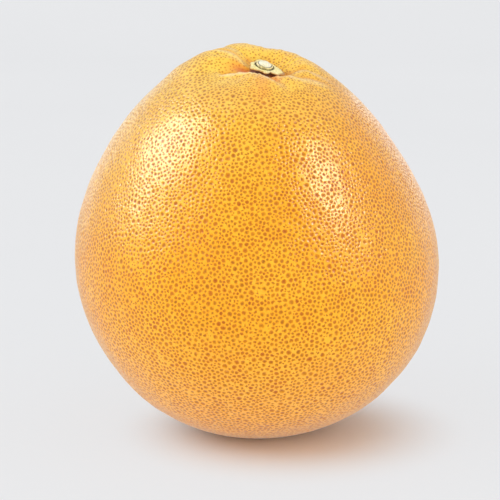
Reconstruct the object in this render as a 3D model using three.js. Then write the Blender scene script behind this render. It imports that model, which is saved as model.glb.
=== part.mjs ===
// A picked grapefruit that stands on a small flat spot, with its calyx and the cut end of its stalk.
// Millimetres, +Z up. The origin is the middle of the flat spot under the fruit.
import * as THREE from "three";

// Driving dimensions. Lengths in millimetres, angles in degrees.
// An azimuth is measured from +X towards +Y, so the front of the fruit, -Y, is at -90.
const MIDDLE = new THREE.Vector3(0, 0, 62); // the point that the skin's radii are measured from
const LEAN_FORWARD = 12; // the stem half of the fruit leans this far towards -Y; the lower half is upright
const LEAN_LEFT = 0.5; // and this far towards -X
const LEAN_BLEND = 0.6; // the lean comes in over this share of the radius below and above the middle
// The skin's distance from the middle, every 30 degrees from the stem end to the blossom end: it
// slopes in at the shoulder, at 60 degrees, and is fullest low down, from 150 on.
const SKIN_RADII = [62.5, 59.5, 56, 58.7, 61.5, 63.5, 63.5];
const FULLER_SHOULDER = 2.5; // how much the left shoulder and the lower right side swell out

const STEM_LEAN_FORWARD = 12.5; // where the stalk grew: from the middle, this far towards -Y
const STEM_LEAN_RIGHT = 3; // and this far towards +X
const DISH = { radius: 9, depth: 4.6, back: 1.2 }; // the hollow around the stalk, centred behind it
const SEAT = { radius: 3.6, height: 0.9 }; // the low rise in the dish that the calyx sits on
const DISH_TILT = 9; // the dish faces this far towards +X
const SWELLINGS = [
  { azimuth: 118, distance: 16, height: 2.8, width: 10 }, // the high shoulder behind the stalk
  { azimuth: 45, distance: 15, height: 1.6, width: 9 },
  { azimuth: 168, distance: 20, height: 2.4, width: 9 },
  { azimuth: -112, distance: 9.5, height: 0.3, width: 4.5 }, // the lobe in front of the stalk
  { azimuth: -150, distance: 15, height: -1.8, width: 8 },
  { azimuth: -40, distance: 10, height: 0.5, width: 4 },
];
const FURROWS = [
  { azimuth: 137, depth: 1.5, width: 2.6, reach: 17 },
  { azimuth: 92, depth: 0.6, width: 3.2, reach: 12 },
  { azimuth: 6, depth: 0.9, width: 2.2, reach: 13 },
  { azimuth: -68, depth: 1.4, width: 2.4, reach: 8 },
  { azimuth: -166, depth: 1.6, width: 3.0, reach: 9 },
];
const FURROW_START = 3; // the furrows begin this far from the stalk
const FURROW_FULL = 8.5; // and are deepest here
const RELIEF_FADE = [45, 72]; // the relief around the stalk fades out between these angles from it

const SEPALS = [
  { azimuth: -8, length: 2.0 },
  { azimuth: 56, length: 1.0 },
  { azimuth: 118, length: 1.0 },
  { azimuth: 173, length: 1.8 },
  { azimuth: -81, length: 1.3 },
];
const CALYX_RADIUS = 4.1; // the button without the tips of its sepals
const SEPAL_SPREAD = 24; // degrees over which a sepal narrows to its tip
const CALYX_THICKNESS = { middle: 1.1, edge: 0.45 };
const CALYX_LIFT = 0.35; // the edge curls up this far
const CALYX_FLAT = 0.55; // share of the way to the edge where the curl begins
const CALYX_ROUNDING = 0.03; // the edge is rounded over this share of the way
const GAP = 0.3; // between pieces that touch

// The stub's radius and height, from its foot to its cut top.
const STUB_OUTLINE = [
  [2.2, 0],
  [2.6, 0.3],
  [2.65, 0.8],
  [2.45, 1.25],
  [1.9, 1.55],
  [1.0, 1.7],
];

// Mesh fineness: sides around each piece, and the rings of the fruit as angles from the stalk
const FRUIT_SIDES = 60;
const CALYX_SIDES = 90;
const STUB_SIDES = 36;
const RING_ANGLES = [
  ...steps(0, 26, 13),
  ...steps(26, 156, 24),
  ...steps(156, 180, 8),
  180,
];

function steps(from, to, count) {
  return Array.from({ length: count }, (_, i) => from + ((to - from) * i) / count);
}

const radians = THREE.MathUtils.degToRad;

// The unit vector that leans from +Z by the two given angles.
function leaning(forward, right) {
  return new THREE.Vector3(
    Math.sin(radians(right)),
    -Math.sin(radians(forward)) * Math.cos(radians(right)),
    Math.cos(radians(forward)) * Math.cos(radians(right)),
  );
}

// The shortest angle between two azimuths, in degrees.
function between(a, b) {
  const turn = 360;
  return Math.abs(((a - b + 1.5 * turn) % turn) - turn / 2);
}

const upright = new THREE.Vector3(0, 0, 1);
const leaningAxis = leaning(LEAN_FORWARD, -LEAN_LEFT);
const stemAxis = leaning(STEM_LEAN_FORWARD, STEM_LEAN_RIGHT);
const stemRight = new THREE.Vector3(1, 0, 0).projectOnPlane(stemAxis).normalize();
const stemBack = new THREE.Vector3().crossVectors(stemAxis, stemRight);

// The cosine series that takes the values of SKIN_RADII at its stations and is level at both ends.
const last = SKIN_RADII.length - 1;
const cosineTerms = SKIN_RADII.map((_, k) => {
  const sum = SKIN_RADII.reduce((total, radius, j) => {
    const weight = j === 0 || j === last ? 0.5 : 1;
    return total + weight * radius * Math.cos((Math.PI * k * j) / last);
  }, 0);
  return (sum * (k === 0 || k === last ? 1 : 2)) / last;
});

function roundRadius(polarAngle) {
  return cosineTerms.reduce((total, term, k) => total + term * Math.cos(k * polarAngle), 0);
}

// How far the skin around the stalk stands above or below the plain round form, at a place given by
// its distance to the right of the stalk and behind it.
function stemRelief(right, back) {
  const distance = Math.hypot(right, back);
  const inDish = Math.exp(-((Math.hypot(right, back - DISH.back) / DISH.radius) ** 4));
  let height = -(DISH.depth + right * Math.tan(radians(DISH_TILT))) * inDish;
  height += SEAT.height * Math.exp(-((distance / SEAT.radius) ** 4));
  for (const { azimuth, distance: out, height: rise, width } of SWELLINGS) {
    const across = right - out * Math.cos(radians(azimuth));
    const along = back - out * Math.sin(radians(azimuth));
    height += rise * Math.exp(-(across ** 2 + along ** 2) / width ** 2);
  }
  for (const { azimuth, depth, width, reach } of FURROWS) {
    const along = right * Math.cos(radians(azimuth)) + back * Math.sin(radians(azimuth));
    const aside = back * Math.cos(radians(azimuth)) - right * Math.sin(radians(azimuth));
    const started = THREE.MathUtils.smoothstep(along, FURROW_START, FURROW_FULL);
    const fading = Math.exp(-((Math.max(0, along - FURROW_FULL) / reach) ** 2));
    height -= depth * started * fading * Math.exp(-((aside / width) ** 2));
  }
  return height;
}

// The point of the skin that lies in a direction from the fruit's middle.
function skinPoint(direction) {
  const leanShare = THREE.MathUtils.smoothstep(direction.z, -LEAN_BLEND, LEAN_BLEND);
  const axis = upright.clone().lerp(leaningAxis, leanShare);
  const polarAngle = direction.angleTo(axis);
  const offTheBase = 1 - Math.max(-direction.z, 0) ** 4;
  let radius = roundRadius(polarAngle) - FULLER_SHOULDER * direction.x * direction.z * offTheBase;
  const fromStem = THREE.MathUtils.radToDeg(direction.angleTo(stemAxis));
  const reliefShare = 1 - THREE.MathUtils.smoothstep(fromStem, ...RELIEF_FADE);
  const right = direction.dot(stemRight) * SKIN_RADII[0];
  const back = direction.dot(stemBack) * SKIN_RADII[0];
  radius += reliefShare * stemRelief(right, back);
  const point = direction.clone().multiplyScalar(radius).add(MIDDLE);
  point.z = Math.max(point.z, 0); // the flat spot that the fruit rests on
  return point;
}

// A closed surface of revolution about +Z through the [radius, height] points of an outline. The
// outline's first and last points are joined to the axis. place() then moves each of its points.
function turned(outline, around, place) {
  const [, low] = outline[0];
  const [, high] = outline[outline.length - 1];
  const closed = [[0, low], ...outline, [0, high]];
  const points = closed.map(([radius, height]) => new THREE.Vector2(radius, height));
  const geometry = new THREE.LatheGeometry(points, around);
  geometry.rotateX(Math.PI / 2);
  const position = geometry.getAttribute("position");
  for (let i = 0; i < position.count; i++) {
    const point = new THREE.Vector3().fromBufferAttribute(position, i);
    position.setXYZ(i, ...place(point));
  }
  geometry.computeVertexNormals();
  return geometry;
}

function makeFruit() {
  // A unit ball about the stem axis, its rings close together around the stalk and under the fruit.
  const inner = RING_ANGLES.slice(1, -1).reverse();
  const ball = inner.map((angle) => [Math.sin(radians(angle)), Math.cos(radians(angle))]);
  const tilt = new THREE.Quaternion().setFromUnitVectors(upright, stemAxis);
  const geometry = turned(ball, FRUIT_SIDES, (point) => skinPoint(point.normalize().applyQuaternion(tilt)));
  const rind = new THREE.MeshStandardMaterial({ color: 0xf2a32c, roughness: 0.38, metalness: 0 });
  const fruit = new THREE.Mesh(geometry, rind);
  fruit.name = "fruit";
  return fruit;
}

// The radius of the calyx's star-shaped edge at an azimuth.
function calyxEdge(azimuth) {
  return SEPALS.reduce(
    (radius, sepal) => radius + sepal.length * Math.exp(-between(azimuth, sepal.azimuth) / SEPAL_SPREAD),
    CALYX_RADIUS,
  );
}

function makeCalyx() {
  // Radii here are shares of the way to the edge; heights are above the seat.
  const { middle, edge } = CALYX_THICKNESS;
  const outline = [
    [CALYX_FLAT, 0],
    [1 - CALYX_ROUNDING, CALYX_LIFT],
    [1, CALYX_LIFT + edge / 2],
    [1 - CALYX_ROUNDING, CALYX_LIFT + edge],
    [CALYX_FLAT, middle],
  ];
  const geometry = turned(outline, CALYX_SIDES, (point) => {
    const azimuth = THREE.MathUtils.radToDeg(Math.atan2(point.y, point.x));
    const scale = calyxEdge(azimuth);
    return new THREE.Vector3(point.x * scale, point.y * scale, point.z);
  });
  const dried = new THREE.MeshStandardMaterial({ color: 0xd9c98a, roughness: 0.7, metalness: 0 });
  const calyx = new THREE.Mesh(geometry, dried);
  calyx.name = "calyx";
  calyx.position.z = GAP;
  return calyx;
}

function makeStemStub() {
  const geometry = turned(STUB_OUTLINE, STUB_SIDES, (point) => point);
  const wood = new THREE.MeshStandardMaterial({ color: 0xe9e2c3, roughness: 0.65, metalness: 0 });
  const stub = new THREE.Mesh(geometry, wood);
  stub.name = "stem_stub";
  stub.position.z = GAP + CALYX_THICKNESS.middle + GAP;
  return stub;
}

// The calyx and the stub share a frame that sits on the seat, with +Z out of the fruit.
function makeStemEnd() {
  const around = (right, back) =>
    skinPoint(stemAxis.clone().addScaledVector(stemRight, right).addScaledVector(stemBack, back).normalize());
  const reach = SEAT.radius / SKIN_RADII[0] / 2;
  const acrossSeat = around(reach, 0).sub(around(-reach, 0)).normalize();
  const alongSeat = around(0, reach).sub(around(0, -reach)).normalize();
  const out = new THREE.Vector3().crossVectors(acrossSeat, alongSeat).normalize();
  const back = new THREE.Vector3().crossVectors(out, acrossSeat);
  const group = new THREE.Group();
  group.position.copy(skinPoint(stemAxis));
  group.quaternion.setFromRotationMatrix(new THREE.Matrix4().makeBasis(acrossSeat, back, out));
  group.add(makeCalyx(), makeStemStub());
  return group;
}

const grapefruit = new THREE.Group();
grapefruit.add(makeFruit(), makeStemEnd());

export default grapefruit;
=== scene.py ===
"""A grapefruit with its calyx and stem stub, standing on a plain pale floor. Metres, +Z up."""

import math

import bpy
import numpy as np
from mathutils import Matrix, Vector
from mathutils.geometry import delaunay_2d_cdt


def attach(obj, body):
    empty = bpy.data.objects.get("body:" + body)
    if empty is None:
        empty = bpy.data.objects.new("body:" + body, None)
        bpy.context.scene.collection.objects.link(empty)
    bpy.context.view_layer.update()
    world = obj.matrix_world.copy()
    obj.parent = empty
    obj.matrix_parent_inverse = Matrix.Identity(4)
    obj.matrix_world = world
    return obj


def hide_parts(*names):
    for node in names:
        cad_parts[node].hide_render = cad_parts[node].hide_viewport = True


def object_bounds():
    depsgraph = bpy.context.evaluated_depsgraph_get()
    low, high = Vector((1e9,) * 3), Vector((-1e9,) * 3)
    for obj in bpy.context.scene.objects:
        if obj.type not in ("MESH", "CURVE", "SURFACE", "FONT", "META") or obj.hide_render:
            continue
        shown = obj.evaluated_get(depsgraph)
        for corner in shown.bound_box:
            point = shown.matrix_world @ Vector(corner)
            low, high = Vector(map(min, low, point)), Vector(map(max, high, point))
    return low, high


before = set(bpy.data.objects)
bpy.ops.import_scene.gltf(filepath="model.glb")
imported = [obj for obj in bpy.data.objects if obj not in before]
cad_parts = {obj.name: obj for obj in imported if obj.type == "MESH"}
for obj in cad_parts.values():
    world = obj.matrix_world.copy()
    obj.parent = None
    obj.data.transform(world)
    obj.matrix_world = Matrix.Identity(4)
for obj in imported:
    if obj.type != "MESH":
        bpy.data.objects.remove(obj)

CAD_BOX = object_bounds()
MM = 0.001
random = np.random.default_rng(7)

# The skin's form, as in the CAD part. Lengths in metres, angles in degrees, azimuths from +X to +Y.
MIDDLE = np.array([0.0, 0.0, 62.0 * MM])
LEAN_FORWARD = 12.0
LEAN_LEFT = 0.5
LEAN_BLEND = 0.6
# Every 30 degrees from the stem end to the blossom end
SKIN_RADII = np.array([62.5, 59.5, 56.0, 58.7, 61.5, 63.5, 63.5]) * MM
FULLER_SHOULDER = 2.5 * MM
STEM_LEAN_FORWARD = 12.5
STEM_LEAN_RIGHT = 3.0
DISH_RADIUS = 9.0 * MM
DISH_DEPTH = 4.6 * MM
DISH_BACK = 1.2 * MM
DISH_TILT = 9.0
SEAT_RADIUS = 3.6 * MM
SEAT_HEIGHT = 0.9 * MM
# The swellings: azimuth, distance from the stalk, height, width
SWELLINGS = [
    (118, 16 * MM, 2.8 * MM, 10 * MM),
    (45, 15 * MM, 1.6 * MM, 9 * MM),
    (168, 20 * MM, 2.4 * MM, 9 * MM),
    (-112, 9.5 * MM, 0.3 * MM, 4.5 * MM),
    (-150, 15 * MM, -1.8 * MM, 8 * MM),
    (-40, 10 * MM, 0.5 * MM, 4 * MM),
]
# The furrows: azimuth, depth, width, reach
FURROWS = [
    (137, 1.5 * MM, 2.6 * MM, 17 * MM),
    (92, 0.6 * MM, 3.2 * MM, 12 * MM),
    (6, 0.9 * MM, 2.2 * MM, 13 * MM),
    (-68, 1.4 * MM, 2.4 * MM, 8 * MM),
    (-166, 1.6 * MM, 3.0 * MM, 9 * MM),
]
FURROW_START = 3.0 * MM
FURROW_FULL = 8.5 * MM
RELIEF_FADE = (45.0, 72.0)

# The calyx and the stub
CALYX_SIDES = 240
CALYX_RADIUS = 3.8 * MM
# The lobes and the notch of its edge: azimuth, length, spread
CALYX_LOBES = [
    (-10, 2.2 * MM, 24),
    (62, 0.4 * MM, 20),
    (120, 1.7 * MM, 26),
    (176, 1.3 * MM, 18),
    (-146, 2.5 * MM, 22),
    (-95, 1.2 * MM, 20),
    (-70, -0.9 * MM, 6),
    (-42, 0.9 * MM, 16),
]
CALYX_MIDDLE = 1.1 * MM
CALYX_EDGE = 0.45 * MM
CALYX_LIFT = 0.2 * MM
CALYX_FRONT_LIFT = 0.4 * MM
CALYX_SOCKET = 0.5 * MM
CALYX_FLAT = 0.55  # the share of the radius within which the calyx stays flat
GAP = 0.3 * MM  # between the calyx's frame and the skin
STUB_LIFT = 1.35 * MM
STUB_RIGHT = -0.9 * MM  # the stub's middle from the calyx's
STUB_BACK = -0.1 * MM

# The oil glands, seen as pores in the rind
PORE_SPACING = 1.48 * MM
STEM_MESH_SPACING = 0.5 * MM  # the mesh is finer around the stalk, where only some cells hold a pore
STEM_MESH_REACH = (13.0, 22.0)  # degrees from the stalk over which the spacing widens
STEM_PORE_GAP = 0.74 * MM  # the least distance between pores around the stalk
PIT_DEPTH = 0.17  # of a pore's radius
RELAX_ROUNDS = 8

# The folds of the skin around the stalk: the line of each crest, as places to the right of the
# stalk and behind it, the height and width of the crest, and the depth of the trench beside it,
# its distance to the left of the line and its width. All in millimetres.
FOLDS = [
    (
        [(-5.5, 0.4), (-9, 2.3), (-11, 2.7), (-13, 3.7), (-16.5, 5.3), (-21, 8.5)],
        0.3, 1.1, 0.5, -1.9, 1.3,
    ),
    (
        [(-16, -7.4), (-12, -7.3), (-8, -8), (-5, -8.4), (-3, -8.4)]
        + [(-1.2, -9.3), (0.4, -11), (2.2, -13.2), (5, -17)],
        0.5, 1.2, 1.1, 2.4, 1.4,
    ),
    (
        [(1.5, -7), (4, -6.5), (6, -7), (7.5, -8), (9.5, -9), (12, -9), (15, -8), (19, -7), (24, -8)],
        0.3, 1.7, 0.5, 2.9, 1.5,
    ),
    (
        [(5.4, -2.6), (7.2, -3), (9, -3), (10.8, -2.7), (13, -1.4), (17, 0.6)],
        0.2, 1.0, 0.4, 3.4, 1.5,
    ),
]
# Slight rises and dips of the skin between the folds, in millimetres: right, back, height, width
BUMPS = [
    (-5, 14.3, -0.5, 4.5),
    (-13, 12.5, 0.5, 2.8),
    (-28.5, 8.5, 0.6, 4.5),
    (-15.8, 8.8, -0.35, 2),
    (12.2, 12, -0.4, 2.5),
    (0.4, -9.6, -1.0, 2.8),
    (-4.4, -8.4, -0.4, 2.6),
    (2.8, -6.2, 1.3, 1.6),
    (8.4, -5.6, -1.3, 3.6),
]
# Soft oval spots of painted orange-red shade in the hollows beside and in front of the calyx, in
# millimetres: right, back, half widths, strength
POCKET_SHADE_SPOTS = [
    (-7.8, -1.8, 4.0, 2.4, 0.9),
    (-5.2, -1.8, 2.2, 1.8, 1.0),
    (-1.2, -15, 2.6, 9, 0.35),
    (3.0, -8.6, 1.8, 1.4, 0.5),
]
# The skin is duller around the stalk: from its foot outward, and how rough it is there
DULL_REACH = (20.0 * MM, 36.0 * MM)
DULL_ROUGHNESS = 0.75

# Seen directly, this share of the floor's look is its own colour rather than the light it gets,
# but less of it near the middle of the fruit's shadow, so that the floor keeps the shadow
FLOOR_GLOW = 0.85
SHADOW_MIDDLE = (12 * MM, -4 * MM, 0.0)
SHADOW_REACH = (22 * MM, 60 * MM)  # from its middle, where the glow begins and where it is full


def smoothstep(value, low, high):
    share = np.clip((value - low) / (high - low), 0.0, 1.0)
    return share * share * (3.0 - 2.0 * share)


def unit(vectors):
    return vectors / np.linalg.norm(vectors, axis=-1, keepdims=True)


def leaning(forward, right):
    """The unit vector that leans from +Z by two angles in degrees, towards -Y and +X."""
    forward = math.radians(forward)
    right = math.radians(right)
    return np.array(
        [
            math.sin(right),
            -math.sin(forward) * math.cos(right),
            math.cos(forward) * math.cos(right),
        ]
    )


def angle_between(vectors, others):
    cosine = np.sum(unit(vectors) * unit(others), axis=-1)
    return np.arccos(np.clip(cosine, -1.0, 1.0))


def turn_between(azimuth, other):
    """The shortest angle between azimuths, in degrees."""
    return np.abs((azimuth - other + 540.0) % 360.0 - 180.0)


UPRIGHT = np.array([0.0, 0.0, 1.0])
LEANING_AXIS = leaning(LEAN_FORWARD, -LEAN_LEFT)
STEM_AXIS = leaning(STEM_LEAN_FORWARD, STEM_LEAN_RIGHT)
STEM_RIGHT = unit(np.array([1.0, 0.0, 0.0]) - STEM_AXIS[0] * STEM_AXIS)
STEM_BACK = np.cross(STEM_AXIS, STEM_RIGHT)


def cosine_terms(radii):
    """The cosine series through radii at even steps from the stem end to the blossom end."""
    last = len(radii) - 1
    stations = np.arange(last + 1)
    weights = np.where((stations == 0) | (stations == last), 0.5, 1.0)
    terms = []
    for k in stations:
        total = np.sum(weights * radii * np.cos(math.pi * k * stations / last))
        terms.append(2.0 * weights[k] * total / last)
    return terms


ROUND_TERMS = cosine_terms(SKIN_RADII)


def round_radius(polar_angle):
    return sum(term * np.cos(k * polar_angle) for k, term in enumerate(ROUND_TERMS))


def stem_relief(right, back):
    """How far the skin around the stalk stands above the plain round form."""
    in_dish = np.exp(-((np.hypot(right, back - DISH_BACK) / DISH_RADIUS) ** 4))
    height = -(DISH_DEPTH + right * math.tan(math.radians(DISH_TILT))) * in_dish
    height = height + SEAT_HEIGHT * np.exp(-((np.hypot(right, back) / SEAT_RADIUS) ** 4))
    for azimuth, distance, rise, width in SWELLINGS:
        across = right - distance * math.cos(math.radians(azimuth))
        along = back - distance * math.sin(math.radians(azimuth))
        height = height + rise * np.exp(-(across**2 + along**2) / width**2)
    for azimuth, depth, width, reach in FURROWS:
        cosine = math.cos(math.radians(azimuth))
        sine = math.sin(math.radians(azimuth))
        along = right * cosine + back * sine
        aside = back * cosine - right * sine
        started = smoothstep(along, FURROW_START, FURROW_FULL)
        fading = np.exp(-((np.maximum(0.0, along - FURROW_FULL) / reach) ** 2))
        height = height - depth * started * fading * np.exp(-((aside / width) ** 2))
    return height


def skin_radius(directions):
    lean_share = smoothstep(directions[:, 2:3], -LEAN_BLEND, LEAN_BLEND)
    axis = UPRIGHT + lean_share * (LEANING_AXIS - UPRIGHT)
    off_the_base = 1.0 - np.maximum(-directions[:, 2], 0.0) ** 4
    radius = round_radius(angle_between(directions, axis))
    radius = radius - FULLER_SHOULDER * directions[:, 0] * directions[:, 2] * off_the_base
    from_stem = np.degrees(angle_between(directions, STEM_AXIS))
    relief_share = 1.0 - smoothstep(from_stem, *RELIEF_FADE)
    right = directions @ STEM_RIGHT * SKIN_RADII[0]
    back = directions @ STEM_BACK * SKIN_RADII[0]
    return radius + relief_share * stem_relief(right, back)


def skin_points(directions, rise=0.0):
    """The points of the skin in unit directions from the middle, lifted by a rise."""
    radius = skin_radius(directions) + rise
    points = directions * radius[:, None] + MIDDLE
    points[:, 2] = np.maximum(points[:, 2], 0.0)
    return points


# The point of the skin that the stalk stands on
STALK_FOOT = tuple(skin_points(STEM_AXIS[None, :])[0].tolist())


# ---- pores ----


def stem_angles(directions):
    """The angle from the stalk and the turn around it, in radians."""
    polar = angle_between(directions, STEM_AXIS)
    turn = np.arctan2(directions @ STEM_BACK, directions @ STEM_RIGHT)
    return polar, turn


def cell_spacing(polar):
    """The spacing of the mesh's cells at an angle from the stalk, as an angle in radians."""
    low, high = np.radians(STEM_MESH_REACH)
    share = smoothstep(polar, low, high)
    spacing = STEM_MESH_SPACING + share * (PORE_SPACING - STEM_MESH_SPACING)
    return spacing / SKIN_RADII.mean()


def spiral_directions():
    """Evenly spread directions on a golden-angle spiral around the stalk, denser near it."""
    polar = np.linspace(0.0, math.pi, 4001)
    cell = math.sqrt(3.0) / 2.0 * cell_spacing(polar) ** 2
    density = 2.0 * math.pi * np.sin(polar) / cell
    steps = (density[1:] + density[:-1]) / 2.0 * np.diff(polar)
    count = np.concatenate([[0.0], np.cumsum(steps)])
    total = int(count[-1])
    angle = np.interp(np.arange(total) + 0.5, count, polar)
    turn = np.arange(total) * math.pi * (3.0 - math.sqrt(5.0))
    around = np.cos(turn)[:, None] * STEM_RIGHT + np.sin(turn)[:, None] * STEM_BACK
    return np.cos(angle)[:, None] * STEM_AXIS + np.sin(angle)[:, None] * around


def sphere_triangles(directions):
    """Delaunay triangles of points on the unit sphere, seen anticlockwise from outside."""
    pole = int(np.argmin(directions @ STEM_AXIS))
    up = -directions[pole]
    right = unit(np.cross([0.3, 1.0, 0.2], up))
    back = np.cross(up, right)
    others = np.delete(np.arange(len(directions)), pole)
    height = directions[others] @ up
    flat = np.stack([directions[others] @ right, directions[others] @ back], axis=1)
    flat = flat / (1.0 + height)[:, None]
    flat_points = [Vector(point) for point in flat.tolist()]
    faces = delaunay_2d_cdt(flat_points, [], [], 0, 1e-10, True)[2]
    triangles = others[np.array(faces)]
    sides = np.concatenate([triangles[:, [0, 1]], triangles[:, [1, 2]], triangles[:, [2, 0]]])
    known = set(map(tuple, sides.tolist()))
    rim = [(b, a, pole) for a, b in known if (b, a) not in known]
    return np.concatenate([triangles, np.array(rim)])


def triangle_edges(triangles):
    """Each edge once, as its two ends and the triangles to its left and right."""
    count = len(triangles)
    sides = np.concatenate([triangles[:, [0, 1]], triangles[:, [1, 2]], triangles[:, [2, 0]]])
    owner = np.tile(np.arange(count), 3)
    forward = sides[:, 0] < sides[:, 1]
    size = triangles.max() + 1
    key = np.where(forward, sides[:, 0] * size + sides[:, 1], sides[:, 1] * size + sides[:, 0])
    left = np.flatnonzero(forward)
    right = np.flatnonzero(~forward)
    left = left[np.argsort(key[left])]
    right = right[np.argsort(key[right])]
    return sides[left], owner[left], owner[right]


def spread_pores():
    """Pore directions that lie as closely as their sizes let them, and those sizes."""
    directions = spiral_directions()
    count = len(directions)
    polar = stem_angles(directions)[0]
    wander = cell_spacing(polar) * 0.32
    directions = unit(directions + random.normal(size=(count, 3)) * wander[:, None])
    size = np.clip(np.exp(random.normal(size=count) * 0.32), 0.5, 1.7)
    for _ in range(RELAX_ROUNDS):
        edges = triangle_edges(sphere_triangles(directions))[0]
        first, second = edges[:, 0], edges[:, 1]
        apart = directions[second] - directions[first]
        distance = np.linalg.norm(apart, axis=1)
        spacing = cell_spacing(stem_angles(directions)[0])
        wanted = (spacing[first] + spacing[second]) * (size[first] + size[second]) / 4.0 * 1.05
        push = np.maximum(wanted - distance, 0.0) * 0.28
        move = apart / distance[:, None] * push[:, None]
        shift = np.zeros_like(directions)
        np.add.at(shift, second, move)
        np.add.at(shift, first, -move)
        directions = unit(directions + shift)
    return directions, size


def pick_pores(directions):
    """For each cell the cell whose pore it belongs to, which is its own but in the fine mesh."""
    spacing = cell_spacing(stem_angles(directions)[0]) * SKIN_RADII.mean()
    owner = np.arange(len(directions))
    fine = spacing < STEM_PORE_GAP * 1.15
    near_stem = directions @ STEM_AXIS > 0.85
    pores = list(np.flatnonzero(near_stem & ~fine))
    least = STEM_PORE_GAP / SKIN_RADII[0]
    for cell in random.permutation(np.flatnonzero(fine)):
        apart = np.linalg.norm(directions[pores] - directions[cell], axis=1)
        if apart.min() > least:
            pores.append(cell)
        else:
            owner[cell] = -1
    pores = np.array(pores)
    for cell in np.flatnonzero(owner < 0):
        apart = np.linalg.norm(directions[pores] - directions[cell], axis=1)
        owner[cell] = pores[np.argmin(apart)]
    return owner


def pore_radius(directions, size, owner, edges):
    """How far each pore's dimple reaches, up to about half way to the nearest other pore."""
    first, second = owner[edges[:, 0]], owner[edges[:, 1]]
    apart = first != second
    first, second = first[apart], second[apart]
    gap = np.linalg.norm(directions[second] - directions[first], axis=1) * SKIN_RADII.mean()
    room = np.full(len(directions), 1.0)
    np.minimum.at(room, first, gap * 0.55)
    np.minimum.at(room, second, gap * 0.55)
    spacing = cell_spacing(stem_angles(directions)[0]) * SKIN_RADII.mean()
    wish = np.maximum(spacing, STEM_PORE_GAP * 1.25) * size * 0.52
    return np.minimum(wish, room)[owner]


# ---- fine relief that the plain CAD form leaves out ----


def rolling(points, wavelength, count):
    """A smooth random field of about unit height, from plane waves of about one wavelength."""
    heading = unit(random.normal(size=(count, 3)))
    length = wavelength * random.uniform(0.75, 1.35, size=count)
    phase = random.uniform(0.0, 2.0 * math.pi, size=count)
    waves = np.sin(points @ (heading / length[:, None] * 2.0 * math.pi).T + phase)
    return waves.sum(axis=1) * math.sqrt(2.0 / count)


def stem_wrinkles(directions):
    """Fine radial wrinkles in the smoother skin around the stalk."""
    polar, turn = stem_angles(directions)
    distance = polar * SKIN_RADII[0]
    height = np.zeros(len(directions))
    for folds in (11, 17, 23, 31, 41):
        phase = random.uniform(0.0, 2.0 * math.pi)
        sway = random.uniform(0.3, 0.9)
        height += np.sin(folds * turn + phase + sway * np.sin(distance / (3.0 * MM) + phase)) / 2.2
    strength = smoothstep(distance, 3.5 * MM, 7.0 * MM) * (1.0 - smoothstep(distance, 10.0 * MM, 21.0 * MM))
    return height * strength


def stem_plane(directions):
    """Distances to the right of the stalk and behind it, and whether that side of the fruit is meant."""
    right = directions @ STEM_RIGHT * SKIN_RADII[0]
    back = directions @ STEM_BACK * SKIN_RADII[0]
    return right, back, directions @ STEM_AXIS > 0.5


def along_line(right, back, line):
    """The distance from a line of points, positive on its left side, and the share of its length."""
    corners = np.array(line) * MM
    lengths = np.linalg.norm(np.diff(corners, axis=0), axis=1)
    starts = np.concatenate([[0.0], np.cumsum(lengths)])
    nearest = np.full(len(right), 1.0)
    side = np.ones(len(right))
    share = np.zeros(len(right))
    for i, length in enumerate(lengths):
        heading = (corners[i + 1] - corners[i]) / length
        x = right - corners[i, 0]
        y = back - corners[i, 1]
        along = np.clip(x * heading[0] + y * heading[1], 0.0, length)
        distance = np.hypot(x - along * heading[0], y - along * heading[1])
        closer = distance < nearest
        nearest = np.where(closer, distance, nearest)
        side = np.where(closer, np.sign(heading[0] * y - heading[1] * x), side)
        share = np.where(closer, (starts[i] + along) / starts[-1], share)
    return nearest * side, share


def fold_relief(directions):
    """The height of the folds around the stalk, and a mark that is 1 on crests and -1 in trenches."""
    right, back, near = stem_plane(directions)
    height = np.zeros(len(directions))
    mark = np.zeros(len(directions))
    for line, ridge, width, trench, trench_offset, trench_width in FOLDS:
        distance, share = along_line(right, back, line)
        ends = smoothstep(share, 0.0, 0.12) * (1.0 - smoothstep(share, 0.6, 1.0)) * near
        rise = np.exp(-((distance / (width * MM)) ** 2)) * ends
        dip = np.exp(-(((distance - trench_offset * MM) / (trench_width * MM)) ** 2)) * ends
        height += (ridge * rise - trench * dip) * MM
        mark += rise * ridge / 0.4 - dip
    for x, y, bump, width in BUMPS:
        spread = ((right / MM - x) ** 2 + (back / MM - y) ** 2) / width**2
        height += bump * MM * np.exp(-spread) * near
    return height, mark


def stem_spots(directions, spots):
    """A share that is 1 in the middle of soft oval spots around the stalk and 0 away from them."""
    right, back, near = stem_plane(directions)
    share = np.zeros(len(directions))
    for x, y, across, along, strength in spots:
        spread = ((right / MM - x) / across) ** 2 + ((back / MM - y) / along) ** 2
        share = np.maximum(share, strength * np.exp(-spread) * near)
    return share


def calyx_outline(azimuth):
    """The calyx's plain radius at azimuths in degrees around the stalk."""
    edge = np.full(azimuth.shape, CALYX_RADIUS)
    for lobe, length, spread in CALYX_LOBES:
        edge = edge + length * np.exp(-((turn_between(azimuth, lobe) / spread) ** 1.4))
    return edge


def mesh_object(name, vertices, faces):
    mesh = bpy.data.meshes.new(name)
    mesh.vertices.add(len(vertices))
    mesh.vertices.foreach_set("co", np.asarray(vertices, np.float32).ravel())
    mesh.loops.add(faces.size)
    mesh.loops.foreach_set("vertex_index", faces.ravel().astype(np.int32))
    mesh.polygons.add(len(faces))
    mesh.polygons.foreach_set("loop_start", np.arange(0, faces.size, faces.shape[1], dtype=np.int32))
    mesh.update(calc_edges=True)
    mesh.validate()
    mesh.shade_smooth()
    made = bpy.data.objects.new(name, mesh)
    bpy.context.collection.objects.link(made)
    return made


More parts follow.
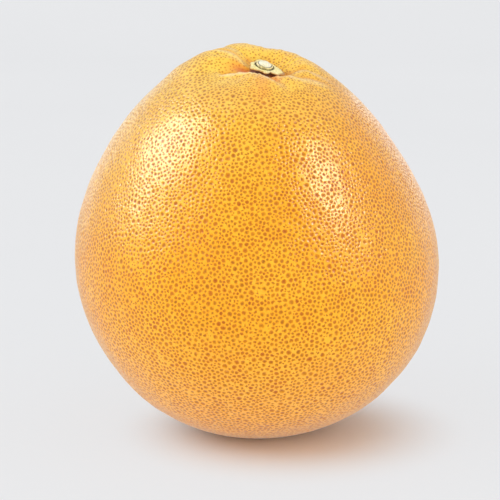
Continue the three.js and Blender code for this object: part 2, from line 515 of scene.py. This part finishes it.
def smooth_normals(points, faces):
    """The normals at the points of a surface, averaged over the faces around each."""
    first, second, third = (points[faces[:, i]] for i in range(3))
    face_normals = np.cross(second - first, third - first)
    normals = np.zeros_like(points)
    for i in range(3):
        np.add.at(normals, faces[:, i], face_normals)
    return unit(normals)


def add_attribute(mesh, name, kind, domain, values):
    attribute = mesh.attributes.new(name, kind, domain)
    field = "value" if kind == "FLOAT" else "vector"
    attribute.data.foreach_set(field, np.asarray(values, np.float32).ravel())


def crest_height(directions):
    """How far each point of the skin stands above its surroundings 1.5 mm away."""
    reach = 1.5 * MM / SKIN_RADII[0]
    side = unit(np.cross(directions, STEM_AXIS + 1e-4))
    other = np.cross(directions, side)
    around = np.zeros(len(directions))
    for offset in (side, -side, other, -other):
        around += skin_radius(unit(directions + offset * reach)) / 4.0
    return skin_radius(directions) - around


def uneven_rise(directions, plain):
    """The rise of lumps, wrinkles and folds over the plain skin, and the marks of the folds."""
    lumps = rolling(plain, 7.0 * MM, 40) * 0.03 * MM + rolling(plain, 21.0 * MM, 30) * 0.07 * MM
    off_the_foot = smoothstep(plain[:, 2], 1.0 * MM, 9.0 * MM)
    folds, mark = fold_relief(directions)
    rise = lumps * off_the_foot + stem_wrinkles(directions) * 0.13 * MM + folds
    return rise, mark


def pit_depths(directions, height, radius, owner):
    """How deep each cell's pore is: less near the stalk and on the foot."""
    from_stem = np.degrees(stem_angles(directions)[0])
    boldness = 0.5 + 0.5 * smoothstep(from_stem, 9.0, 24.0)
    foot_share = smoothstep(height, 0.2 * MM, 4.0 * MM)
    uneven = random.uniform(0.8, 1.2, size=len(directions))
    depth = PIT_DEPTH * radius * boldness * foot_share * uneven
    return depth[owner]


def sunk_by_pits(unpitted, corners, owner, radius, depth):
    """How far points sink by the nearest pore of their cells, and how far out in it they lie."""
    sunk = np.zeros(len(unpitted))
    rim = np.ones(len(unpitted))
    for corner in corners.T:
        away = np.linalg.norm(unpitted - unpitted[owner[corner]], axis=1) / radius[corner]
        sunk = np.maximum(sunk, depth[corner] * np.maximum(1.0 - away**2, 0.0) ** 2)
        rim = np.minimum(rim, away)
    return sunk, rim


def make_rind():
    """The skin: a point in each cell and one in each corner between cells, with a pit for a pore."""
    directions, size = spread_pores()
    triangles = sphere_triangles(directions)
    edges, left, right = triangle_edges(triangles)
    centroids = unit(directions[triangles].sum(axis=1))
    count = len(directions)
    everywhere = np.concatenate([directions, centroids])
    plain = skin_points(everywhere)
    rise, mark = uneven_rise(everywhere, plain)
    unpitted = skin_points(everywhere, rise)

    owner = pick_pores(directions)
    radius = pore_radius(directions, size, owner, edges)
    depth = pit_depths(directions, plain[:count, 2], radius, owner)
    own_cells = np.repeat(np.arange(count)[:, None], 3, axis=1)
    corners = np.concatenate([own_cells, triangles])
    sunk, rim = sunk_by_pits(unpitted, corners, owner, radius, depth)
    points = skin_points(everywhere, rise - sunk)

    first, second = edges[:, 0], edges[:, 1]
    near_faces = np.stack([first, right + count, left + count], axis=1)
    far_faces = np.stack([second, left + count, right + count], axis=1)
    faces = np.concatenate([near_faces, far_faces])
    cell_of_face = np.concatenate([first, second])
    tint = random.beta(2.0, 2.0, size=count)[owner]
    looks = np.stack([radius, depth, tint], axis=1)

    rind = mesh_object("rind", points, faces)
    rind.data.normals_split_custom_set_from_vertices(smooth_normals(unpitted, faces).tolist())
    add_attribute(rind.data, "pore_centre", "FLOAT_VECTOR", "FACE", points[owner[cell_of_face]])
    add_attribute(rind.data, "pore_look", "FLOAT_VECTOR", "FACE", looks[cell_of_face])
    # how far the skin stands out, which sets the painted highlight on crests and painted shade in hollows
    add_attribute(rind.data, "crest", "FLOAT", "POINT", crest_height(everywhere))
    # the fold mark, which sets the painted highlight on fold crests and painted shade in their trenches
    add_attribute(rind.data, "fold", "FLOAT", "POINT", mark)
    add_attribute(rind.data, "rim", "FLOAT", "POINT", rim)
    # the share of painted orange-red shade in the hollows beside the calyx
    add_attribute(rind.data, "pocket_shade", "FLOAT", "POINT", stem_spots(everywhere, POCKET_SHADE_SPOTS))
    # the share of painted shade under the calyx, partly the brown dried skin there
    add_attribute(rind.data, "shade", "FLOAT", "POINT", under_calyx(everywhere))
    return rind


def under_calyx(directions):
    """1 where the calyx covers the skin and 0 outside it: the share of painted shade under the calyx,
    partly the brown dried skin there.
    """
    right, back, near = stem_plane(directions)
    edge = calyx_outline(np.degrees(np.arctan2(back, right)))
    in_front = smoothstep(-back, -1.0 * MM, 2.0 * MM)
    fade = (0.3 + 0.7 * in_front) * MM
    return (1.0 - smoothstep(np.hypot(right, back), edge - 0.5 * MM, edge + fade)) * near


# ---- materials ----


def paint(red, green, blue):
    """A colour given as it is seen, 0 to 255, as the linear values that a shader takes."""
    seen = np.array([red, green, blue]) / 255.0
    linear = np.where(seen <= 0.04045, seen / 12.92, ((seen + 0.055) / 1.055) ** 2.4)
    return (*linear.tolist(), 1.0)


class Nodes:
    """Short calls for building one material's node tree."""

    def __init__(self, name):
        self.material = bpy.data.materials.new(name)
        self.material.use_nodes = True
        self.tree = self.material.node_tree
        self.shader = self.tree.nodes["Principled BSDF"]

    def add(self, kind, inputs=None, **settings):
        node = self.tree.nodes.new(kind)
        for key, value in settings.items():
            setattr(node, key, value)
        for key, value in (inputs or {}).items():
            self.put(node, key, value)
        return node

    def put(self, node, key, value):
        if isinstance(value, bpy.types.NodeSocket):
            self.tree.links.new(value, node.inputs[key])
        else:
            node.inputs[key].default_value = value

    def attribute(self, name, output="Fac"):
        node = self.add("ShaderNodeAttribute", attribute_name=name)
        return node.outputs[output]

    def position(self):
        return self.add("ShaderNodeTexCoord").outputs["Object"]

    def math(self, operation, *values):
        inputs = dict(enumerate(values))
        return self.add("ShaderNodeMath", inputs, operation=operation).outputs[0]

    def vector_math(self, operation, *values, output="Vector"):
        inputs = dict(enumerate(values))
        return self.add("ShaderNodeVectorMath", inputs, operation=operation).outputs[output]

    def noise(self, vector, scale, detail=2.0, roughness=0.5, output="Fac"):
        inputs = {"Vector": vector, "Scale": scale, "Detail": detail, "Roughness": roughness}
        return self.add("ShaderNodeTexNoise", inputs).outputs[output]

    def ramp(self, value, low, high, start=0.0, end=1.0):
        """Carries value from low..high to start..end smoothly, and holds it beyond."""
        inputs = {
            "Value": value,
            "From Min": low,
            "From Max": high,
            "To Min": start,
            "To Max": end,
        }
        return self.add("ShaderNodeMapRange", inputs, interpolation_type="SMOOTHSTEP").outputs[0]

    def mix(self, share, first, second):
        node = self.add("ShaderNodeMix", data_type="RGBA")
        for socket, value in zip((node.inputs[0], node.inputs[6], node.inputs[7]), (share, first, second)):
            if isinstance(value, bpy.types.NodeSocket):
                self.tree.links.new(value, socket)
            else:
                socket.default_value = value
        return node.outputs[2]

    def scale(self, vector, factor):
        node = self.add("ShaderNodeVectorMath", {0: vector, "Scale": factor}, operation="SCALE")
        return node.outputs["Vector"]

    def bump(self, height, normal=None):
        inputs = {"Height": height, "Distance": 1.0, "Strength": 1.0}
        if normal is not None:
            inputs["Normal"] = normal
        return self.add("ShaderNodeBump", inputs).outputs["Normal"]

    def finish(self, colour, roughness, normal):
        self.put(self.shader, "Base Color", colour)
        self.put(self.shader, "Roughness", roughness)
        self.put(self.shader, "Normal", normal)
        return self.material


def pore_place(nodes, position, radius):
    """The pore's middle, and the way out from it as a share of its radius, a little out of round."""
    warp = nodes.noise(position, 1150.0, 2.0, output="Color")
    warp = nodes.vector_math("SUBTRACT", warp, (0.5, 0.5, 0.5))
    warp = nodes.scale(warp, 1.2 * MM)
    warped = nodes.vector_math("ADD", position, warp)
    centre = nodes.attribute("pore_centre", "Vector")
    from_centre = nodes.vector_math("SUBTRACT", warped, centre)
    return centre, nodes.scale(from_centre, nodes.math("DIVIDE", 1.0, radius))


def share_of_pore(nodes, away):
    """How far out in its pore a place is, led over to the mesh's own measure at the rim."""
    rim = nodes.attribute("rim")
    beyond = nodes.math("SUBTRACT", rim, away)
    to_rim = nodes.math("MULTIPLY", nodes.ramp(rim, 0.35, 0.95), beyond)
    return nodes.math("ADD", away, to_rim)


def pitted_normal(nodes, outward, away, radius, depth):
    """The normal of skin that slopes down to the pore's middle, steepest two thirds of the way out."""
    steepness = nodes.math("MULTIPLY", nodes.math("DIVIDE", depth, radius), 5.4)
    steepness = nodes.math("MULTIPLY", steepness, away)
    flattening = nodes.math("SUBTRACT", 1.0, nodes.math("MULTIPLY", away, away))
    slope = nodes.math("MULTIPLY", steepness, nodes.math("MAXIMUM", flattening, 0.0))
    normal = nodes.add("ShaderNodeNewGeometry").outputs["Normal"]
    normal = nodes.vector_math("SUBTRACT", normal, nodes.scale(outward, slope))
    return nodes.vector_math("NORMALIZE", normal)


def skin_colour(nodes, position, centre, share, tint, fine):
    """The net between the pores and their darker slopes and dots, yellower towards the upper left and back
    (partly the fruit's own tone, partly painted light) and paler near the bottom (painted bounce light from
    the floor).
    """
    broad = nodes.noise(position, 45.0, 3.0, 0.6)
    # yellower towards the upper left and back, where the window light falls: partly the fruit's own tone,
    # partly painted light
    yellow_tone_and_painted_light = nodes.vector_math("DOT_PRODUCT", position, (-6.0, 2.0, 14.0), output="Value")
    yellow_tone_and_painted_light = nodes.ramp(nodes.math("ADD", yellow_tone_and_painted_light, nodes.math("MULTIPLY", broad, 0.5)), 1.25, 2.15)
    low = nodes.add("ShaderNodeSeparateXYZ", {0: position}).outputs[2]
    net = nodes.mix(nodes.ramp(broad, 0.35, 0.68), paint(255, 178, 28), paint(255, 187, 36))
    net = nodes.mix(yellow_tone_and_painted_light, net, paint(252, 209, 72))
    # paler and peachier near the bottom: painted bounce light from the floor
    net = nodes.mix(nodes.ramp(low, 4.0 * MM, 55.0 * MM, 0.8, 0.0), net, paint(255, 190, 78))
    slope_colour = nodes.mix(yellow_tone_and_painted_light, paint(226, 140, 0), paint(232, 160, 8))
    ripe = nodes.noise(centre, 260.0, 2.0, 0.7)
    dot = nodes.mix(nodes.ramp(ripe, 0.42, 0.62), paint(156, 90, 0), paint(172, 76, 0))
    dot = nodes.mix(yellow_tone_and_painted_light, dot, paint(154, 100, 0))
    colour = nodes.mix(nodes.ramp(share, 0.62, 1.0, 1.0, 0.0), net, slope_colour)
    within = nodes.math("MULTIPLY", share, nodes.ramp(ripe, 0.3, 0.7, 1.05, 0.75))
    stain = nodes.ramp(within, 0.2, 0.8, 1.0, 0.0)
    stain = nodes.math("MULTIPLY", stain, nodes.ramp(tint, 0.0, 1.0, 0.6, 1.0))
    stain = nodes.math("MULTIPLY", stain, nodes.ramp(fine, 0.3, 0.6, 1.0, 0.75))
    return nodes.mix(stain, colour, dot)


def stem_end_colour(nodes, position, colour):
    """Painted highlight on crests and fold crests, painted shade in hollows, fold trenches and orange-red
    pockets, and painted shade under the calyx, partly the brown dried skin there.
    """
    # painted highlight on crests and painted shade in hollows, by how far the skin stands above its
    # surroundings
    crest = nodes.attribute("crest")
    painted_crest_highlight = nodes.ramp(crest, 0.05 * MM, 0.35 * MM, 0.0, 0.5)
    colour = nodes.mix(painted_crest_highlight, colour, paint(250, 205, 130))
    painted_hollow_shade = nodes.ramp(crest, -0.35 * MM, -0.08 * MM, 0.5, 0.0)
    colour = nodes.mix(painted_hollow_shade, colour, paint(232, 132, 28))
    # painted orange-red shade in the hollows beside and in front of the calyx
    pocket_shade = nodes.math("MULTIPLY", nodes.attribute("pocket_shade"), 0.95)
    colour = nodes.mix(pocket_shade, colour, paint(240, 116, 10))
    # painted highlight along the fold crests, broken up by noise, and painted shade in the trenches beside
    # them
    fold = nodes.attribute("fold")
    wear_and_painted_highlight = nodes.ramp(nodes.noise(position, 420.0, 3.0, 0.7), 0.35, 0.6, 0.3, 0.7)
    wear_and_painted_highlight = nodes.math("MULTIPLY", nodes.ramp(fold, 0.1, 1.1), wear_and_painted_highlight)
    colour = nodes.mix(wear_and_painted_highlight, colour, paint(255, 230, 168))
    colour = nodes.mix(nodes.ramp(fold, -0.9, -0.1, 0.4, 0.0), colour, paint(240, 158, 24))
    # painted shade under the calyx, partly the brown dried skin there
    return nodes.mix(nodes.attribute("shade"), colour, paint(132, 60, 12))


def rind_material():
    nodes = Nodes("rind")
    position = nodes.position()
    look = nodes.add("ShaderNodeSeparateXYZ", {0: nodes.attribute("pore_look", "Vector")})
    radius, depth, tint = look.outputs
    centre, outward = pore_place(nodes, position, radius)
    away = nodes.vector_math("LENGTH", outward, output="Value")
    share = share_of_pore(nodes, away)
    fine = nodes.noise(position, 900.0, 3.0, 0.6)
    colour = skin_colour(nodes, position, centre, share, tint, fine)
    colour = stem_end_colour(nodes, position, colour)

    grain = nodes.noise(position, 2600.0, 2.0, 0.6)
    height = nodes.math("MULTIPLY", fine, 0.03 * MM)
    height = nodes.math("ADD", height, nodes.math("MULTIPLY", grain, 0.012 * MM))
    normal = pitted_normal(nodes, outward, away, radius, depth)
    roughness = nodes.ramp(share, 0.3, 0.56, 1.0, 0.25)
    from_stalk = nodes.vector_math("DISTANCE", position, STALK_FOOT, output="Value")
    dull = nodes.ramp(from_stalk, *DULL_REACH, DULL_ROUGHNESS, 0.0)
    roughness = nodes.math("MAXIMUM", roughness, dull)
    nodes.put(nodes.shader, "Specular IOR Level", 0.24)
    nodes.put(nodes.shader, "Sheen Weight", 0.45)
    nodes.put(nodes.shader, "Sheen Roughness", 0.5)
    nodes.put(nodes.shader, "Sheen Tint", paint(255, 246, 236))
    return nodes.finish(colour, roughness, nodes.bump(height, normal))


def floor_material():
    nodes = Nodes("floor")
    broad = nodes.noise(nodes.position(), 3.0, 3.0)
    colour = nodes.mix(broad, paint(232, 233, 235), paint(236, 237, 239))
    grain = nodes.noise(nodes.position(), 300.0, 2.0)
    height = nodes.math("MULTIPLY", grain, 0.02 * MM)
    nodes.put(nodes.shader, "Specular IOR Level", 0.1)
    nodes.finish(colour, 0.6, nodes.bump(height))

    # seen directly it is partly lit from within, so that it stays pale away from the fruit
    glow = nodes.add("ShaderNodeEmission", {"Color": colour, "Strength": 1.0})
    from_shadow = nodes.vector_math("DISTANCE", nodes.position(), SHADOW_MIDDLE, output="Value")
    share = nodes.ramp(from_shadow, *SHADOW_REACH, 0.0, FLOOR_GLOW)
    seen = nodes.math("MULTIPLY", nodes.add("ShaderNodeLightPath").outputs["Is Camera Ray"], share)
    blend = nodes.add("ShaderNodeMixShader", {0: seen, 1: nodes.shader.outputs[0], 2: glow.outputs[0]})
    nodes.put(nodes.tree.nodes["Material Output"], "Surface", blend.outputs[0])
    return nodes.material


# ---- the stem end ----


def stem_end_frame():
    """The frame that the calyx and the stub share, with +Z out of the fruit, as in the CAD part."""
    reach = SEAT_RADIUS / SKIN_RADII[0] / 2.0
    offsets = np.array([[reach, 0.0], [-reach, 0.0], [0.0, reach], [0.0, -reach], [0.0, 0.0]])
    directions = unit(STEM_AXIS + offsets[:, :1] * STEM_RIGHT + offsets[:, 1:] * STEM_BACK)
    right, left, back, front, middle = skin_points(directions)
    across = unit(right - left)
    out = unit(np.cross(across, unit(back - front)))
    columns = np.stack([across, np.cross(out, across), out, middle], axis=1)
    return columns


def placed(points, lift):
    """Points of the stem end's own frame, lifted along it, in the row frame."""
    columns = stem_end_frame()
    raised = points + np.array([0.0, 0.0, lift])
    return raised @ columns[:, :3].T + columns[:, 3]


def with_ends(rings):
    """The points of all the rings, then the middles of the first and the last one."""
    return np.concatenate([*rings, [rings[0].mean(axis=0), rings[-1].mean(axis=0)]])


def turned_faces(rings, sides):
    """Triangles between rings that go round anticlockwise, with a fan that closes each end."""
    ring = np.arange(rings - 1)[:, None] * sides
    side = np.arange(sides)
    following = (side + 1) % sides
    lower = np.stack([ring + side, ring + following, ring + sides + following], axis=-1)
    upper = np.stack([ring + side, ring + sides + following, ring + sides + side], axis=-1)
    top = (rings - 1) * sides
    first_middle = np.full(sides, rings * sides)
    foot_fan = np.stack([following, side, first_middle], axis=1)
    top_fan = np.stack([top + side, top + following, first_middle + 1], axis=1)
    return np.concatenate([lower.reshape(-1, 3), upper.reshape(-1, 3), foot_fan, top_fan])


def ring_points(radius, height, azimuth):
    x = radius * np.cos(azimuth)
    y = radius * np.sin(azimuth)
    return np.stack(np.broadcast_arrays(x, y, height), axis=1)


def ripples(azimuth, folds):
    """A wavy height around a ring, of about unit height."""
    total = np.zeros(azimuth.shape)
    for count in folds:
        total += np.sin(count * azimuth + random.uniform(0.0, 2.0 * math.pi))
    return total / math.sqrt(len(folds))


def from_stub(points):
    """The distance of points in the stem end's frame from the stub's middle line."""
    return np.hypot(points[:, 0] - STUB_RIGHT, points[:, 1] - STUB_BACK)


def make_calyx():
    """The dried star of sepals: a thin ribbed plate with a curled edge and a socket for the stub."""
    sides = CALYX_SIDES
    azimuth = np.radians(np.arange(sides) * 360.0 / sides)
    edge = calyx_outline(np.degrees(azimuth)) + 0.08 * MM * ripples(azimuth, (9, 14, 23))
    ribs = ripples(azimuth, (17, 26, 31, 43))
    curl = CALYX_LIFT * (1.0 + 0.3 * ripples(azimuth, (3, 5)))
    curl = curl + CALYX_FRONT_LIFT * np.exp(-((turn_between(np.degrees(azimuth), -80.0) / 50.0) ** 2))
    rings = []
    shares = []
    for share in np.linspace(0.02, 0.985, 18):
        rings.append(ring_points(edge * share, curl * smoothstep(share, CALYX_FLAT, 1.0), azimuth))
        shares.append(share)
    for share in np.linspace(1.0, 0.02, 60):
        thick = CALYX_MIDDLE + (CALYX_EDGE - CALYX_MIDDLE) * smoothstep(share, 0.5, 1.0)
        height = curl * smoothstep(share, CALYX_FLAT, 1.0) + thick
        ribbed = smoothstep(share, 0.45, 0.65) * (1.0 - 0.6 * smoothstep(share, 0.9, 1.0))
        height = height + 0.07 * MM * ribs * ribbed
        height = height - 0.14 * MM * smoothstep(share, 0.94, 1.0)
        ring = ring_points(edge * share, height, azimuth)
        in_socket = 1.0 - smoothstep(from_stub(ring), 2.7 * MM, 3.05 * MM)
        ring[:, 2] += in_socket * (CALYX_SOCKET - ring[:, 2])
        rings.append(ring)
        shares.append(share)
    points = with_ends(rings)
    calyx = mesh_object("calyx_star", placed(points, GAP), turned_faces(len(rings), sides))
    add_stem_attributes(calyx, points, np.append(np.repeat(shares, sides), [0.0, 0.0]))
    # the socket's share, which sets the painted shade round the stub's foot
    socket = 1.0 - smoothstep(from_stub(points), 2.8 * MM, 3.6 * MM)
    add_attribute(calyx.data, "socket", "FLOAT", "POINT", socket)
    return calyx


def add_stem_attributes(piece, points, shares):
    """Stores where each point of a stem piece lies in its own frame, and its share of the radius."""
    add_attribute(piece.data, "local", "FLOAT_VECTOR", "POINT", points)
    add_attribute(piece.data, "reach", "FLOAT", "POINT", shares)


# The stub's section, from its foot to its cut top: radius and height over the calyx, in
# millimetres. Its bark stands as a rim around the cut face, which swells inside a shrunken groove.
STUB_SECTION = [
    (0.03, -0.45), (2.1, -0.45), (2.45, -0.38), (2.6, -0.2), (2.66, 0.0), (2.66, 0.2), (2.6, 0.36),
    (2.48, 0.46), (2.36, 0.47), (2.27, 0.4), (2.2, 0.28), (2.12, 0.24), (2.04, 0.34), (1.95, 0.52),
    (1.8, 0.7), (1.6, 0.84), (1.35, 0.96), (1.1, 1.05), (0.85, 1.12), (0.6, 1.16), (0.3, 1.19), (0.03, 1.2),
]
STUB_SIDES = 120
STUB_RADIUS = 2.66  # the section's widest, in millimetres
STUB_BARK_RINGS = 10
STUB_HEART_BACK = 0.3  # how far the swollen middle sits behind the rim's middle


def make_stub():
    """The cut end of the stalk: a low knob with a rim of bark around its domed, cut face."""
    sides = STUB_SIDES
    azimuth = np.radians(np.arange(sides) * 360.0 / sides)
    wobble = 1.0 + 0.018 * ripples(azimuth, (2, 3, 5, 8))
    rings = []
    for radius, height in STUB_SECTION:
        ring = ring_points(radius * wobble * MM, height * MM, azimuth)
        ring[:, 0] += STUB_RIGHT
        ring[:, 1] += STUB_BACK
        rings.append(ring)
    for i, ring in enumerate(rings[STUB_BARK_RINGS:]):
        ring[:, 1] += STUB_HEART_BACK * min(1.0, i / 4.0) * MM
        ring[:, 2] += 0.04 * MM * rolling(ring, 1.6 * MM, 20)
    points = with_ends(rings)
    stub = mesh_object("stem_knob", placed(points, STUB_LIFT), turned_faces(len(rings), sides))
    shares = np.array([radius for radius, _ in STUB_SECTION]) / STUB_RADIUS
    add_stem_attributes(stub, points, np.append(np.repeat(shares, sides), [0.0, 0.0]))
    return stub


def calyx_material():
    nodes = Nodes("calyx")
    local = nodes.attribute("local", "Vector")
    reach = nodes.attribute("reach")
    blotch = nodes.noise(local, 420.0, 4.0, 0.6)
    fine = nodes.noise(local, 2600.0, 4.0, 0.7)
    colour = nodes.mix(nodes.ramp(blotch, 0.3, 0.7), paint(255, 234, 142), paint(255, 245, 184))
    green = nodes.noise(local, 300.0, 2.0)
    colour = nodes.mix(nodes.ramp(green, 0.52, 0.72, 0.0, 0.25), colour, paint(226, 204, 112))
    # the dried calyx's own browning towards its edge and its right tip
    wear_and_painted_highlight = nodes.math("ADD", reach, nodes.math("MULTIPLY", fine, 0.16))
    right = nodes.add("ShaderNodeSeparateXYZ", {0: local}).outputs[0]
    wear_and_painted_highlight = nodes.math("ADD", wear_and_painted_highlight, nodes.ramp(right, 3.6 * MM, 6.0 * MM, 0.0, 0.16))
    colour = nodes.mix(nodes.ramp(wear_and_painted_highlight, 1.0, 1.1, 0.0, 0.8), colour, paint(186, 118, 52))
    speck = nodes.ramp(fine, 0.54, 0.68, 0.0, 0.75)
    colour = nodes.mix(speck, colour, paint(158, 122, 48))
    # dark in the socket round the stub's foot: painted shade where the stub meets the calyx
    socket = nodes.math("MULTIPLY", nodes.attribute("socket"), nodes.ramp(blotch, 0.4, 0.6, 1.0, 0.8))
    colour = nodes.mix(socket, colour, paint(64, 42, 10))
    height = nodes.math("MULTIPLY", fine, 0.09 * MM)
    return nodes.finish(colour, nodes.ramp(blotch, 0.3, 0.7, 0.45, 0.6), nodes.bump(height))


def stub_material():
    nodes = Nodes("stem")
    local = nodes.attribute("local", "Vector")
    reach = nodes.attribute("reach")
    blotch = nodes.noise(local, 700.0, 4.0, 0.6)
    fine = nodes.noise(local, 3200.0, 4.0, 0.7)
    colour = nodes.mix(nodes.ramp(blotch, 0.3, 0.7), paint(252, 246, 206), paint(255, 253, 236))
    # darker and greener on the front of the cut face: painted shade on the side turned away from the light
    forward = nodes.add("ShaderNodeSeparateXYZ", {0: local}).outputs[1]
    colour = nodes.mix(nodes.ramp(forward, -2.4 * MM, -0.4 * MM, 0.6, 0.0), colour, paint(206, 192, 122))
    # dark in the groove between the bark rim and the domed middle: painted shade
    from_groove = nodes.math("ABSOLUTE", nodes.math("SUBTRACT", reach, 0.8))
    groove_shade = nodes.ramp(from_groove, 0.0, 0.09, 0.9, 0.0)
    colour = nodes.mix(groove_shade, colour, paint(96, 76, 28))
    bark = nodes.ramp(reach, 0.84, 0.9, 0.0, 0.7)
    colour = nodes.mix(bark, colour, paint(232, 212, 132))
    crack = nodes.math("MULTIPLY", bark, nodes.ramp(blotch, 0.42, 0.56, 0.9, 0.0))
    colour = nodes.mix(crack, colour, paint(128, 104, 44))
    colour = nodes.mix(nodes.ramp(fine, 0.56, 0.7, 0.0, 0.5), colour, paint(160, 136, 72))
    height = nodes.math("MULTIPLY", fine, 0.08 * MM)
    return nodes.finish(colour, nodes.ramp(blotch, 0.3, 0.7, 0.4, 0.55), nodes.bump(height))


# ---- floor, lights and camera ----


def make_floor():
    """A level floor that curves up into a backdrop far behind the fruit."""
    width = 3.0
    bend = 0.5
    back = 1.1
    profile = [(-2.0, 0.0)]
    for step in range(13):
        angle = math.radians(step * 7.5)
        profile.append((back + bend * math.sin(angle), bend * (1.0 - math.cos(angle))))
    profile.append((back + bend, 2.5))
    points = []
    for y, z in profile:
        points.append((-width, y, z))
        points.append((width, y, z))
    faces = [(2 * i, 2 * i + 1, 2 * i + 3, 2 * i + 2) for i in range(len(profile) - 1)]
    floor = mesh_object("floor", np.array(points), np.array(faces))
    floor.data.materials.append(floor_material())
    return floor


def softbox(name, toward, distance, width, height, radiance, fill=True, sheen=True, turn=0.0):
    """A rectangular area lamp that faces the fruit's middle, turned in its own plane."""
    data = bpy.data.lights.new(name, "AREA")
    data.shape = "RECTANGLE"
    data.size = width
    data.size_y = height
    data.energy = radiance * math.pi * width * height
    lamp = bpy.data.objects.new(name, data)
    heading = Vector(toward).normalized()
    lamp.location = Vector(MIDDLE) + heading * distance
    turned = Matrix.Rotation(math.radians(turn), 4, "Z")
    lamp.rotation_euler = (heading.to_track_quat("Z", "Y").to_matrix().to_4x4() @ turned).to_euler()
    lamp.visible_camera = False
    lamp.visible_diffuse = fill
    lamp.visible_glossy = sheen
    bpy.context.collection.objects.link(lamp)
    return lamp


WORLD_STRENGTH = 0.81


def light_scene():
    """A plain bright world, soft fills from the front, two softboxes for the gloss and two rims."""
    world = bpy.data.worlds.new("studio")
    world.use_nodes = True
    background = world.node_tree.nodes["Background"]
    background.inputs["Color"].default_value = (1.0, 1.0, 1.0, 1.0)
    background.inputs["Strength"].default_value = WORLD_STRENGTH
    bpy.context.scene.world = world
    softbox("low_fill", (0.0, -1.0, 0.0), 1.2, 1.2, 0.2, 7.5, sheen=False)
    softbox("left_fill", (-0.95, -0.3, 0.1), 1.2, 0.8, 0.6, 1.1, sheen=False)
    softbox("right_fill", (0.95, -0.3, 0.1), 1.2, 0.8, 0.6, 1.5, sheen=False)
    softbox("key_light", (-0.75, -0.3, 0.6), 0.8, 0.5, 0.5, 0.8, sheen=False)
    softbox("left_sheen", (-0.8, -0.1, 0.65), 0.85, 0.6, 0.5, 20.0, fill=False, turn=45.0)
    softbox("right_sheen", (0.7, -0.4, 0.55), 0.85, 0.2, 0.35, 35.0, fill=False)
    softbox("left_rim", (-0.5, 0.86, 0.1), 1.0, 0.5, 0.5, 1.0, fill=False)
    softbox("right_rim", (0.45, 0.88, 0.2), 1.0, 0.5, 0.8, 1.0, fill=False)


CAMERA_ELEVATION = 12.0
CAMERA_DISTANCE = 0.65
AIM_LEFT = 2.2 * MM  # of the middle of the fruit's width
AIM_HEIGHT = 0.467  # of the fruit's height
SENSOR_WIDTH = 36.0
FOCAL_LENGTH = 144.0


def make_camera():
    low, high = CAD_BOX
    elevation = math.radians(CAMERA_ELEVATION)
    aim = Vector(((low.x + high.x) / 2.0 - AIM_LEFT, 0.0, AIM_HEIGHT * high.z))
    data = bpy.data.cameras.new("camera")
    data.sensor_width = SENSOR_WIDTH
    data.lens = FOCAL_LENGTH
    camera = bpy.data.objects.new("camera", data)
    back = Vector((0.0, -math.cos(elevation), math.sin(elevation)))
    camera.location = aim + back * CAMERA_DISTANCE
    camera.rotation_euler = back.to_track_quat("Z", "Y").to_euler()
    bpy.context.collection.objects.link(camera)
    bpy.context.scene.camera = camera


def place_piece(piece, node, material):
    piece.data.materials.append(material)
    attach(piece, "root")
    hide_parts(node)


bpy.context.scene.view_settings.view_transform = "Standard"
make_camera()
make_floor()
light_scene()
place_piece(make_rind(), "fruit", rind_material())
place_piece(make_calyx(), "calyx", calyx_material())
place_piece(make_stub(), "stem_stub", stub_material())
